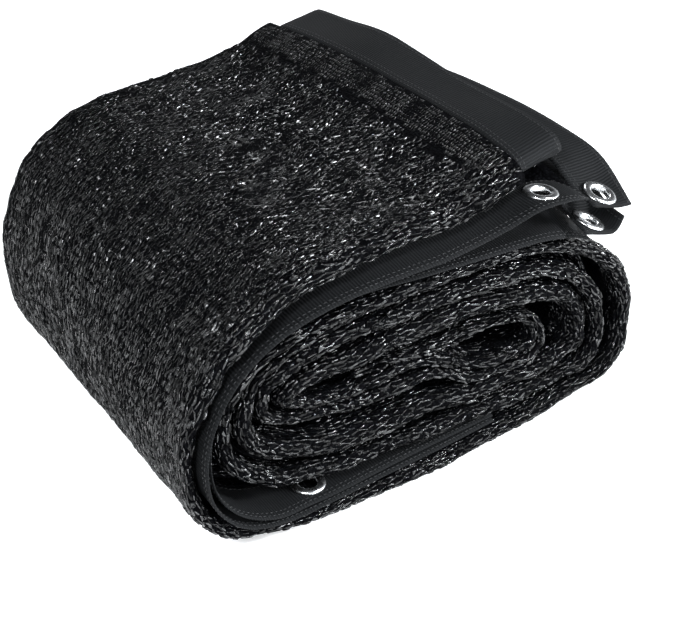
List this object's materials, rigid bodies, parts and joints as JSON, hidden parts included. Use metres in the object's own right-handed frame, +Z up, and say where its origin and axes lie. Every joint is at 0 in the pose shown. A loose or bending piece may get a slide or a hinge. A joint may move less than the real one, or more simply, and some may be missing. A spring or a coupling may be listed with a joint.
{
  "type": "folded shade cloth",
  "caption": "Knitted shade cloth with taped edges and metal eyelets, folded lengthwise in layers and rolled up flat into an oval pack that rests on its side.",
  "frame": {"origin": "on the surface the roll rests on, under the centre of its bounding box", "axes": "+Y runs along the roll's axis from the near end, with the eyelets, to the far end; +X points to the side where the cloth's free end lies; +Z is up"},
  "size_m": [0.3712, 0.3124, 0.2267],
  "materials": {
    "knit": "black knitted plastic tape yarn with a slight sheen",
    "webbing": "charcoal woven edge tape with fine cross ribs",
    "eyelet_metal": "bright nickel plate"
  },
  "bodies": {
    "root": {"cloth_roll": "knit", "end_tape": "webbing", "side_tape_upper": "webbing", "side_tape_lower": "webbing", "eyelet_upper_tape": "eyelet_metal", "eyelet_lower_tape": "eyelet_metal", "eyelet_end_flap": "eyelet_metal", "eyelet_end_tab": "eyelet_metal"}
  },
  "joints": []
}
